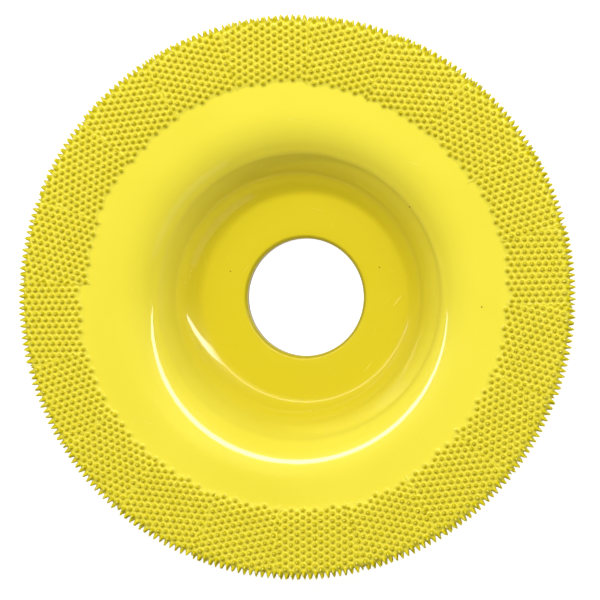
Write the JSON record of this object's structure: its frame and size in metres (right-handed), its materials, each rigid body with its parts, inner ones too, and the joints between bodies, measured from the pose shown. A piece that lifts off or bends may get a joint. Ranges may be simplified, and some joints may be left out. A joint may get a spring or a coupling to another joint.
{
  "type": "angle grinder carving disc",
  "caption": "Depressed-centre shaping disc: a dished steel plate with a round arbor bore and a rim of brazed mats of cutting teeth on its face and edge.",
  "frame": {"origin": "centre of the hub's back face, on the bore's axis; the disc lies on that face", "axes": "+Z along the bore's axis out of the working side, the side that the hub is sunk into; +X and +Y lie in the disc's plane, with the first tooth mat's seam 1.8 degrees clockwise of +X"},
  "size_m": [0.1059, 0.106, 0.0163],
  "materials": {
    "coated_steel": "glossy yellow powder coat over pressed steel",
    "coated_teeth": "glossy yellow powder coat over brazed carbide teeth, thinner on the tips and pooled between them"
  },
  "bodies": {
    "root": {"steel_disc": "coated_steel", "tooth_mat_01": "coated_teeth", "tooth_mat_02": "coated_teeth", "tooth_mat_03": "coated_teeth", "tooth_mat_04": "coated_teeth", "tooth_mat_05": "coated_teeth", "tooth_mat_06": "coated_teeth", "tooth_mat_07": "coated_teeth", "tooth_mat_08": "coated_teeth", "tooth_mat_09": "coated_teeth", "tooth_mat_10": "coated_teeth", "tooth_mat_11": "coated_teeth", "tooth_mat_12": "coated_teeth", "tooth_mat_13": "coated_teeth", "tooth_mat_14": "coated_teeth", "tooth_mat_15": "coated_teeth", "tooth_mat_16": "coated_teeth", "tooth_mat_17": "coated_teeth", "tooth_mat_18": "coated_teeth", "tooth_mat_19": "coated_teeth", "tooth_mat_20": "coated_teeth"}
  },
  "joints": []
}
